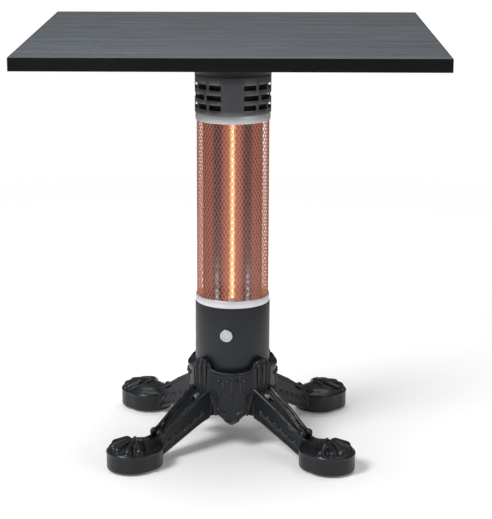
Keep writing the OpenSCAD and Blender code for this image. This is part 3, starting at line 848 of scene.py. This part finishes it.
def hub_shape(step):
    """The hub: a fluted shell with four raised lobes and, between the legs, four pendants."""
    low, high = corners_mm("base_hub")
    radius, inner = high.x, COLUMN_R + 1
    reach = radius + 7
    field = Casting((-reach, -reach, low.z - 5), (reach, reach, high.z + 5), step)
    x, y, z = field.x, field.y, field.z
    away = np.sqrt(x * x + y * y)
    turn = np.mod(np.arctan2(y, x) + math.pi / 4, math.pi / 2) - math.pi / 4
    run = radius * np.abs(turn)
    lobe_run = radius * math.pi / 4 - run
    lobe_r, pendant_run, crown_run = 25, 29, 24
    wall_t, web_t = 8, 10

    # The wavy crown rises to a lobe over each leg, and between legs the hem hangs in a pendant.
    lobe = np.sqrt(np.maximum(lobe_r * lobe_r - lobe_run * lobe_run, 0))
    wave = 3.5 - 2 * np.cos(np.minimum(run / crown_run, 1) * math.pi)
    crown = SEAT_Z + np.maximum(wave, lobe)
    swing = 0.5 - 0.5 * np.cos(np.minimum(run / pendant_run, 1) * math.pi)
    hem = 47.5 + 18 * swing - 6 * np.clip((run - pendant_run) / 20, 0, 1)
    flutes = 1.5 * np.cos(lobe_run / 10.8 * 2 * math.pi) * np.clip((run - 38) / 6, 0, 1)
    belly = (1.8 * np.exp(-((run / crown_run) ** 2))
             * np.clip((z - 60) / 30, 0, 1) * np.clip((128 - z) / 20, 0, 1))
    wall = away - radius - flutes - belly
    shell = common(common(wall, np.maximum(z - crown, hem - z), 3), inner - away, 1.5)
    hollow = common(away - (radius - wall_t), z - (SEAT_Z - web_t), 1.5)
    shape = common(shell, -hollow, 1.5)
    web = np.maximum(np.maximum(away - radius + 2, z - SEAT_Z), SEAT_Z - web_t - z)
    shape = np.minimum(shape, web)
    shape = np.maximum(shape, TUBE_BORE_R - away)

    # Relief, laid out along the wall: a rolled lip, ridges, beads, drops and scroll lines.
    out = away - radius

    def relief(shape, start, end, thick, end_thick=None, reach=1.0):
        return blend(shape, rod_field(run, out, z, start, end, thick, end_thick), reach)

    for start, end in (((0, 0.6, 144.5), (24, 0.6, 145.5)), ((24, 0.6, 145.5), (38, 0.6, 150))):
        shape = relief(shape, start, end, 2.0)
    ridge = [(43, 0.4, 150), (45, 0.4, 112), (38, 0.4, 98), (29, 0.6, 66)]
    for start, end in zip(ridge, ridge[1:]):
        shape = relief(shape, start, end, 2.1)
    for run_at in (7.7, 23):
        shape = relief(shape, (run_at, 1.0, 131), (run_at, 1.0, 131.4), 3.4, reach=0.5)
    for run_at in (0, 15.4):
        shape = relief(shape, (run_at, 0.6, 128), (run_at, 1.0, 111), 1.5, 2.2, 0.6)
    for run_at in (0, 23.4):
        shape = relief(shape, (run_at, 1.2, 106), (run_at, 1.6, 101), 2.0, 2.8, 0.6)
    shape = relief(shape, (26, 0.6, 77), (10, 1.4, 69), 1.9)
    shape = relief(shape, (12, 0.8, 56), (0, 1.2, 51.5), 1.8)
    for run_at in (51.6, 62.6):
        shape = relief(shape, (run_at, 0.8, 118), (run_at, 0.8, 156), 1.6, 3.0, 1.5)
    shape = np.maximum(shape, np.minimum(inner - away, z - SEAT_Z))
    return field.skin(shape)


# --------------------------------------------------------------- sections


def slab(low, high):
    """A plain block between two corners."""
    xs, ys, zs = zip(low, high)
    points = np.array([(x, y, z) for z in zs for y in ys for x in xs], float)
    faces = [(0, 2, 3, 1), (4, 5, 7, 6), (0, 1, 5, 4), (2, 6, 7, 3), (0, 4, 6, 2), (1, 3, 7, 5)]
    return points, faces


def square_band(outer, inner, low, high):
    """An upright square band: half its outer width, half its inner width and its heights."""
    points = []
    for reach in (outer, inner):
        for height in (low, high):
            points += [(x * reach, y * reach, height)
                       for x, y in ((-1, -1), (1, -1), (1, 1), (-1, 1))]
    faces = []
    for k in range(4):
        j = (k + 1) % 4
        faces += [(k, j, 4 + j, 4 + k), (8 + j, 8 + k, 12 + k, 12 + j),
                  (4 + k, 4 + j, 12 + j, 12 + k), (j, k, 8 + k, 8 + j)]
    return np.array(points, float), faces


def slotted_tube(outer, inner, low, high, rows, step=3.0):
    """A tube with rows of slots; a row is its lower and upper height and its slots' angles."""
    turns = {round(a % 360, 3) for row in rows for span in row[2] for a in span}
    turns = sorted(turns | {round(k * step, 3) for k in range(int(360 / step))
                            if all(abs(k * step - t) > step / 3 for t in turns)})
    heights = sorted({low, high} | {edge for row in rows for edge in row[:2]})
    count, levels = len(turns), len(heights)

    def solid(i, j):
        if not 0 <= j < levels - 1:
            return False
        after = turns[(i + 1) % count] + (360 if i % count == count - 1 else 0)
        middle, height = (turns[i % count] + after) / 2, (heights[j] + heights[j + 1]) / 2
        for bottom, top, spans in rows:
            if bottom < height < top and any((middle - a) % 360 < b - a for a, b in spans):
                return False
        return True

    def corner(i, j, side):
        return ((i % count) * levels + j) * 2 + side

    points = []
    for turn in turns:
        for height in heights:
            for radius in (outer, inner):
                angle = math.radians(turn)
                points.append((radius * math.cos(angle), radius * math.sin(angle), height))
    faces = []
    for i in range(count):
        for j in range(levels - 1):
            if not solid(i, j):
                continue
            here, ahead, above, beyond = (i, j), (i + 1, j), (i, j + 1), (i + 1, j + 1)
            faces.append(tuple(corner(*spot, 0) for spot in (here, ahead, beyond, above)))
            faces.append(tuple(corner(*spot, 1) for spot in (here, above, beyond, ahead)))
            for beside, start, end in ((((i - 1) % count, j), here, above),
                                       (((i + 1) % count, j), beyond, ahead),
                                       ((i, j - 1), ahead, here),
                                       ((i, j + 1), above, beyond)):
                if not solid(*beside):
                    faces.append((corner(*start, 0), corner(*end, 0),
                                  corner(*end, 1), corner(*start, 1)))
    return tidy_points(np.array(points), faces)


def tidy_points(points, faces):
    """Drops the points that no face uses."""
    used = sorted({i for face in faces for i in face})
    order = {old: new for new, old in enumerate(used)}
    return points[used], [tuple(order[i] for i in face) for face in faces]


def hexagon(flats):
    """A shape for turned(): six flats on the stretch between two heights."""
    low, high = flats

    def shape(angle, radius, height):
        if not low - 0.01 <= height <= high + 0.01:
            return 1
        return math.cos(math.pi / 6) / math.cos((angle % (math.pi / 3)) - math.pi / 6)
    return shape


def fluted(angle, radius, height):
    """A shape for turned(): grip flutes on what lies far from the axis."""
    flutes, depth, grip_r = 18, 0.03, 9
    return 1 + depth * math.cos(flutes * angle) * (radius > grip_r)


def wall_drill(radius):
    """A rod that cuts a hole of the given radius through the wall."""
    outline = [(AXIS_R, -HOLE_REACH), (radius, -HOLE_REACH), (radius, HOLE_REACH),
               (AXIS_R, HOLE_REACH)]
    return turned(outline, 64)


def at_wall(outward, height):
    """A frame on the column's wall whose Z points outwards."""
    place = Vector((outward.x, outward.y, 0)).normalized() * COLUMN_R + Vector((0, 0, height))
    return Matrix.Translation(place) @ outward.to_track_quat("Z", "Y").to_matrix().to_4x4()


def button_frame():
    """Where the power button comes through the wall."""
    low, high = corners_mm("power_button")
    return at_wall(-Vector(PRESS_AXIS), (low.z + high.z) / 2)


def gland_frame():
    """Where the cable gland comes through the wall."""
    low, high = corners_mm("gland_body")
    return at_wall(Vector((0, 1, 0)), (low.z + high.z) / 2)


# --------------------------------------------------------------- operators


class BISTRO_OT_finishes(bpy.types.Operator):
    """Make the materials and give the CAD nodes that stay theirs"""
    bl_idname = "bistro.finishes"
    bl_label = "Finishes"

    def execute(self, context):
        FINISHES.update(make_finishes(context.scene))
        for part in frame["record"]["subparts"]:
            mesh = frame["nodes"][part["node"]].data
            mesh.materials.clear()
            mesh.materials.append(FINISHES[part["material_slot"]])
        return {"FINISHED"}


class BISTRO_OT_table_top(bpy.types.Operator):
    """Make the laminate panel and the band round its edge"""
    bl_idname = "bistro.table_top"
    bl_label = "Table top"

    def execute(self, context):
        softness = context.scene.bistro_top.edge_softness
        panel = bevelled(new_object("laminate_panel", slab(PANEL_LOW, PANEL_HIGH)), 0.35)
        dressed(panel, "top_laminate", stands_for=["tabletop"])
        gap = 0.02
        strip = square_band(BAND_HIGH.x, PANEL_HIGH.x + gap, BAND_LOW.z, BAND_HIGH.z)
        band = bevelled(new_object("black_edge_band", strip), softness, 4)
        dressed(band, "edge_black", stands_for=["edge_band"])
        return {"FINISHED"}


class BISTRO_OT_support(bpy.types.Operator):
    """Make the cast funnel between the column and the table top"""
    bl_idname = "bistro.support"
    bl_label = "Top support"

    def execute(self, context):
        foot, top, flange = SUPPORT_LOW.z, SUPPORT_HIGH.z, SUPPORT_HIGH.x
        waist, funnel, bore, flange_t = COLUMN_R, COLUMN_R + 18, TUBE_BORE_R, 6
        outline = softened([
            (bore, foot, 0), (waist - 1, foot, 0.6), (waist, foot + 2, 1),
            (waist + 12, foot + 9, 6), (funnel - 1, foot + 22, 9), (funnel, top - flange_t, 5),
            (flange, top - flange_t, 1.6), (flange, top, 1.2), (funnel - 5, top, 1),
            (funnel - 7, foot + 30, 8), (waist + 4, foot + 16, 9), (waist - 6, foot + 8, 3),
            (bore, foot + 8, 0)], 8)
        support = new_object("cast_top_support", turned(outline))
        dressed(support, "support_cast", stands_for=["top_support"])
        return {"FINISHED"}


class BISTRO_OT_vent_collar(bpy.types.Operator):
    """Make the slotted collar above the heater"""
    bl_idname = "bistro.vent_collar"
    bl_label = "Vent collar"

    def execute(self, context):
        slot_h, bar, blank = 9, 5, 17.5
        rows = []
        for height, count in ((49, 6), (31, 5), (14, 6)):
            pitch = (180 - 2 * blank + bar) / count
            spans = [(side + blank + k * pitch, side + blank + (k + 1) * pitch - bar)
                     for side in (-90, 90) for k in range(count)]
            middle = COLLAR_LOW.z + height
            rows.append((middle - slot_h / 2, middle + slot_h / 2, spans))
        tube = slotted_tube(COLUMN_R, COLUMN_R - SHEET_T, COLLAR_LOW.z, COLLAR_HIGH.z, rows)
        collar = bevelled(new_object("slotted_collar", tube), 0.45, 2, 50)
        dressed(collar, "collar_coat", stands_for=["vent_collar"])
        return {"FINISHED"}


class BISTRO_OT_trim_rings(bpy.types.Operator):
    """Make the two bright rings that hold the guard"""
    bl_idname = "bistro.trim_rings"
    bl_label = "Trim rings"

    def execute(self, context):
        inner = RING_R - 2
        height = LOWER_RING_HIGH.z - LOWER_RING_LOW.z
        rings = (("lower_bright_ring", "lower_trim_ring", LOWER_RING_LOW.z, 1),
                 ("upper_bright_ring", "upper_trim_ring", UPPER_RING_HIGH.z, -1))
        for name, node, base, way in rings:
            outline = softened([
                (inner - 5, 0, 0), (RING_R - 0.5, 0, 0.7), (RING_R, height * 0.45, 4),
                (RING_R - 0.5, height, 0.9), (inner, height, 0.4), (inner, 3, 1),
                (inner - 5, 3, 0)])
            points, faces = turned(outline, 160)
            points = points * (1, 1, way) + (0, 0, base)
            if way < 0:
                faces = [face[::-1] for face in faces]
            dressed(new_object(name, (points, faces)), "trim_bright", stands_for=[node])
        return {"FINISHED"}


class BISTRO_OT_guard(bpy.types.Operator):
    """Weave the fine diamond guard round the lamps"""
    bl_idname = "bistro.guard"
    bl_label = "Mesh guard"

    def execute(self, context):
        settings = context.scene.bistro_column
        heights = np.linspace(GUARD_LOW.z, GUARD_HIGH.z, 76)
        strands = []
        for way in (-1, 1):
            radius = GUARD_R - settings.wire_r * (1.9 if way < 0 else 1.0) - 0.05
            for k in range(settings.strands):
                cells = way * (heights - GUARD_LOW.z) / settings.cell_height + k
                away = circle(2 * math.pi * cells / settings.strands)
                path = away * radius + heights[:, None] * (0, 0, 1)
                strands.append(wire(path, away, settings.wire_r))
        guard = new_object("woven_guard", joined(strands))
        dressed(guard, "guard_wire", stands_for=["mesh_guard"], smooth=80)
        return {"FINISHED"}


class BISTRO_OT_coils(bpy.types.Operator):
    """Wind the glowing coil of each lamp"""
    bl_idname = "bistro.coils"
    bl_label = "Glowing coils"

    def execute(self, context):
        settings = context.scene.bistro_heater
        low, high = FILAMENT_LOW.z + 1, FILAMENT_HIGH.z - 1
        turns = (high - low) / settings.coil_pitch
        share = np.linspace(0, 1, int(turns * 12))
        angle = share * turns * 2 * math.pi
        coil = circle(angle) * settings.coil_r
        coil[:, 2] = low + share * (high - low)
        upright = np.zeros_like(coil) + (0, 0, 1)
        coils = []
        for degrees in LAMP_TURNS:
            turn = math.radians(degrees)
            place = np.array((math.cos(turn), math.sin(turn), 0)) * LAMP_REACH
            coils.append(wire(coil + place, upright, 0.6, 5))
        dressed(new_object("glowing_coils", joined(coils)), "filament_glow",
                stands_for=["filaments"], smooth=80)
        return {"FINISHED"}


class BISTRO_OT_housing(bpy.types.Operator):
    """Make the lower housing with its holes for the button and the gland"""
    bl_idname = "bistro.housing"
    bl_label = "Lower housing"

    def execute(self, context):
        low, high = HOUSING_LOW.z, HOUSING_HIGH.z
        inner = COLUMN_R - SHEET_T
        outline = softened([(inner, low, 0.3), (COLUMN_R, low, 0.7), (COLUMN_R, high, 0.7),
                            (inner, high, 0.3)], 3)
        housing = new_object("painted_housing", turned(outline, 160))
        cut(housing, moved(wall_drill(BUTTON_HOLE_R), button_frame()))
        cut(housing, moved(wall_drill(GLAND_HOLE_R), gland_frame()))
        dressed(housing, "housing_coat", stands_for=["lower_housing"])
        return {"FINISHED"}


class BISTRO_OT_button(bpy.types.Operator):
    """Turn the power button and the bezel that it slides in"""
    bl_idname = "bistro.button"
    bl_label = "Power button"

    def execute(self, context):
        place = button_frame()
        cap_r, cap_top, inner, outer = 11.4, 1.6, 11.48, 13.48
        bezel = turned(softened([(inner, -12, 0), (outer, -12, 0.3), (outer, 1, 0.8),
                                 (inner, 1, 0.5)]), 96)
        dressed(new_object("button_surround", moved(bezel, place)), "bezel_black",
                stands_for=["button_bezel"])
        cap = turned(softened([
            (AXIS_R, -16.4, 0), (3, -16.4, 0.4), (3, -4.4, 0.3), (cap_r, -4.4, 0.3),
            (cap_r, cap_top, 0.9), (7.9, cap_top, 0.25), (7.6, 1.15, 0.15), (6.5, 1.15, 0.15),
            (6.2, 1.55, 0.25), (AXIS_R, 1.3, 0)]), 96)
        dressed(new_object("button_cap", moved(cap, place)), "button_silver", "power_button",
                ["power_button"])
        return {"FINISHED"}


class BISTRO_OT_gland(bpy.types.Operator):
    """Make the cable gland at the back of the housing"""
    bl_idname = "bistro.gland"
    bl_label = "Cable gland"

    def execute(self, context):
        bore, low, high, cord_r = GLAND_BORE_R, 0.5, 6.2, 4.6
        neck = turned(softened([(bore, -12, 0), (8, -12, 0.3), (8, 3, 0.3), (bore, 3, 0)]), 64)
        nut = turned(softened([(bore, low, 0), (11, low, 0.7), (11, high, 0.9),
                               (bore, high, 0)]), 96, hexagon((low, high)))
        dome = turned(softened([(cord_r, 5.8, 0), (9.6, 5.8, 0.3), (9.6, 10, 1.5), (8, 14, 2.2),
                                (cord_r, 14, 0.6)]), 96, fluted)
        gland = new_object("cable_gland", moved(joined([neck, nut, dome]), gland_frame()))
        dressed(gland, "gland_black", stands_for=["gland_body"])
        return {"FINISHED"}


class BISTRO_OT_hub(bpy.types.Operator):
    """Cast the fluted hub"""
    bl_idname = "bistro.hub"
    bl_label = "Base hub"

    def execute(self, context):
        step = context.scene.bistro_base.cast_step
        dressed(new_object("fluted_hub", hub_shape(step)), "base_cast",
                stands_for=["base_hub"], smooth=80)
        return {"FINISHED"}


class BISTRO_OT_legs(bpy.types.Operator):
    """Cast the four legs with their paws"""
    bl_idname = "bistro.legs"
    bl_label = "Legs"

    def execute(self, context):
        shape = leg_shape(context.scene.bistro_base.cast_step)
        for corner, degrees in LEG_TURNS.items():
            leg = new_object("paw_leg_" + corner, moved(shape, about_z(degrees)))
            dressed(leg, "base_cast", stands_for=["leg_" + corner], smooth=80)
        return {"FINISHED"}


class BISTRO_OT_pads(bpy.types.Operator):
    """Mould the rubber pads of the levelling glides"""
    bl_idname = "bistro.pads"
    bl_label = "Glide pads"

    def execute(self, context):
        outline = softened([
            (AXIS_R, 0.8, 0), (11, 0.8, 0.6), (12.4, 0, 0.5), (15.4, 0, 0.9), (16, 4.8, 1.2),
            (13.4, 6, 0.8), (4.1, 6, 0.4), (4.1, 2.5, 0.2), (AXIS_R, 2.5, 0)])
        for corner, degrees in LEG_TURNS.items():
            place = about_z(degrees) @ Matrix.Translation((FOOT_REACH, 0, 0))
            pad = new_object("moulded_pad_" + corner, moved(turned(outline, 64), place))
            dressed(pad, "pad_rubber", "glide_pad_" + corner, ["glide_pad_" + corner])
        return {"FINISHED"}


class BISTRO_OT_stage(bpy.types.Operator):
    """Set up the camera, the pale floor and the soft light"""
    bl_idname = "bistro.stage"
    bl_label = "Stage"

    def execute(self, context):
        scene, settings = context.scene, context.scene.bistro_stage
        camera = bpy.data.objects.new("camera", bpy.data.cameras.new("camera"))
        camera.location = settings.camera_place
        camera.rotation_euler = (math.pi / 2 - settings.camera_pitch, 0, settings.camera_yaw)
        camera.data.lens = settings.lens
        camera.data.shift_x, camera.data.shift_y = settings.shift
        scene.collection.objects.link(camera)
        scene.camera = camera

        sides, reach = 96, 9000
        rim = circle(np.arange(sides) * 2 * math.pi / sides) * reach
        floor = new_object("studio_floor", (rim, [tuple(range(sides))]))
        floor.data.materials.append(studio_floor("studio_floor", tuple(settings.floor)))

        middle = Vector((0, 0, 0.35))
        lights = (("key", (-2.1, -2.0, 3.0), 1.3, 120),
                  ("fill", (2.6, -2.4, 1.6), 1.2, 16),
                  ("overhead", (0.1, 0.4, 3.4), 3.2, 120))
        for name, place, size, power in lights:
            light = bpy.data.objects.new(name, bpy.data.lights.new(name, "AREA"))
            light.data.size, light.data.energy = size, power
            light.location = place
            aim = (middle - light.location).to_track_quat("-Z", "Y")
            light.rotation_euler = aim.to_euler()
            scene.collection.objects.link(light)
        studio_sky(scene)
        scene.view_settings.view_transform = "Standard"
        return {"FINISHED"}


def studio_floor(name, colour):
    """Pale seamless paper that runs out into white light."""
    f = Finish(name)
    fibre = f.noise(f.place(), 260.0, 3)
    x, y = f.split(f.place())[:2]
    solid_reach, fade = 0.7, 0.55
    far = f.limited((f.math("SQRT", x * x + y * y) - solid_reach) * fade)
    return f.surface({
        "Base Color": f.mix(fibre, shade(colour, 0.985), colour),
        "Roughness": 0.75 + fibre * 0.1,
        "Specular IOR Level": 0.2,
        "Emission Color": (1, 1, 1, 1),
        "Emission Strength": 0.12,
        "Alpha": 1 - far})


def studio_sky(scene):
    """An even white surround that the camera sees brighter than it lights."""
    world = bpy.data.worlds.new("studio")
    world.use_nodes = True
    scene.world = world
    tree = world.node_tree
    paths = tree.nodes.new("ShaderNodeLightPath")
    strength = tree.nodes.new("ShaderNodeMapRange")
    strength.inputs["To Min"].default_value = 0.15
    strength.inputs["To Max"].default_value = 1.0
    tree.links.new(paths.outputs["Is Camera Ray"], strength.inputs["Value"])
    tree.links.new(strength.outputs["Result"], tree.nodes["Background"].inputs["Strength"])
    tree.nodes["Background"].inputs["Color"].default_value = (1, 1, 1, 1)


class BISTRO_PT_panel(bpy.types.Panel):
    """Lists the pieces of the table and their settings"""
    bl_idname = "BISTRO_PT_panel"
    bl_label = "Bistro Heater"
    bl_space_type = "VIEW_3D"
    bl_region_type = "UI"
    bl_category = "Bistro Heater"

    def draw(self, context):
        for name in SETTINGS:
            group = getattr(context.scene, name)
            box = self.layout.box()
            for key in group.bl_rna.properties.keys():
                if key not in ("rna_type", "name"):
                    box.prop(group, key)
        for operator in OPERATORS:
            self.layout.operator(operator.bl_idname)


SETTINGS = {
    "bistro_top": BistroTopSettings,
    "bistro_column": BistroColumnSettings,
    "bistro_heater": BistroHeaterSettings,
    "bistro_base": BistroBaseSettings,
    "bistro_stage": BistroStageSettings,
}
OPERATORS = (
    BISTRO_OT_finishes, BISTRO_OT_stage, BISTRO_OT_table_top, BISTRO_OT_support,
    BISTRO_OT_vent_collar, BISTRO_OT_trim_rings, BISTRO_OT_guard, BISTRO_OT_coils,
    BISTRO_OT_housing, BISTRO_OT_button, BISTRO_OT_gland, BISTRO_OT_hub, BISTRO_OT_legs,
    BISTRO_OT_pads)


def register():
    for made in (*SETTINGS.values(), *OPERATORS, BISTRO_PT_panel):
        bpy.utils.register_class(made)
    for name, group in SETTINGS.items():
        setattr(bpy.types.Scene, name, bpy.props.PointerProperty(type=group))


def unregister():
    for name in SETTINGS:
        delattr(bpy.types.Scene, name)
    for made in (BISTRO_PT_panel, *reversed(OPERATORS), *reversed(SETTINGS.values())):
        bpy.utils.unregister_class(made)


def main():
    register()
    for operator in OPERATORS:
        group, name = operator.bl_idname.split(".")
        getattr(getattr(bpy.ops, group), name)()


if __name__ == "__main__":
    main()
